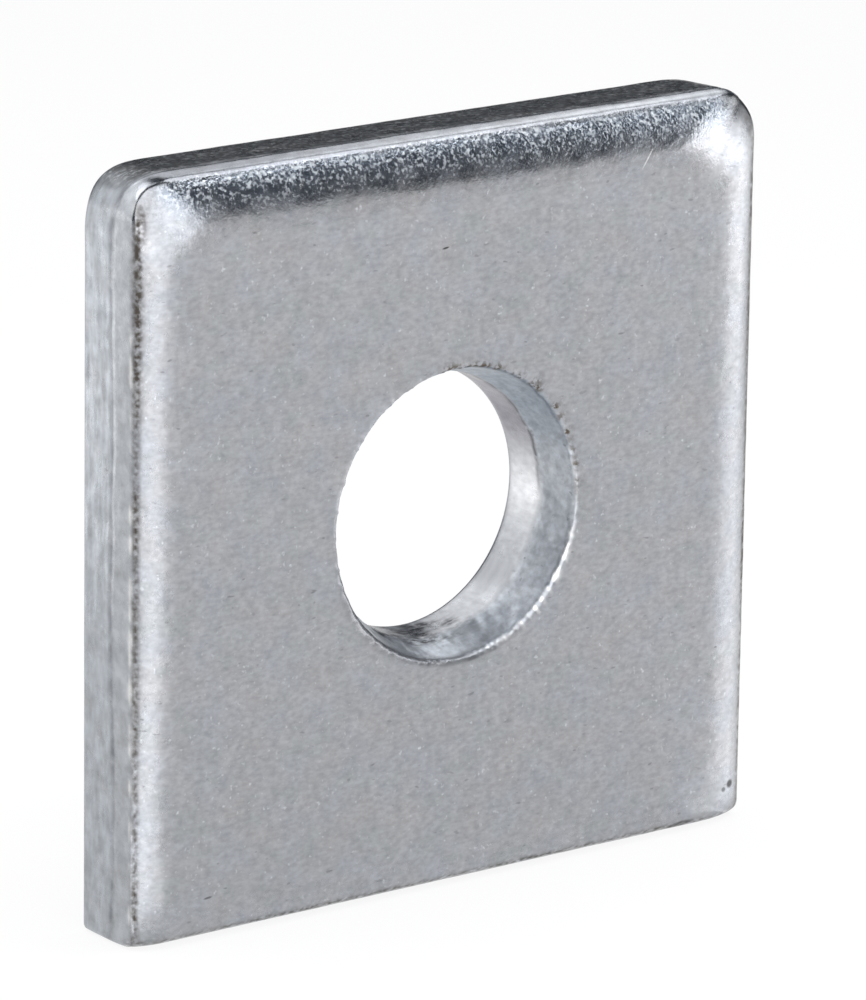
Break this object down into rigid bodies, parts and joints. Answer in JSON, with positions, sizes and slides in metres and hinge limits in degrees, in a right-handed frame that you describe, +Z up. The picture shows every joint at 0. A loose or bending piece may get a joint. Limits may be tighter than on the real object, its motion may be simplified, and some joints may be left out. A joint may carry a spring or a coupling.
{
  "type": "square plate washer",
  "caption": "Thick square steel plate washer with a rolled rim, sheared edges and one central bolt hole; spreads the load of a nut or bolt head.",
  "frame": {"origin": "centre of the bolt hole on the flat back face", "axes": "hole along Y, rolled front face towards -Y, +Z up, standing on the lower sheared edge"},
  "size_m": [0.04, 0.005, 0.04],
  "materials": {
    "zinc_plated_steel": "bright zinc plate over punched mild steel, satin, with handling marks"
  },
  "bodies": {
    "root": {"plate_washer": "zinc_plated_steel"}
  },
  "joints": []
}
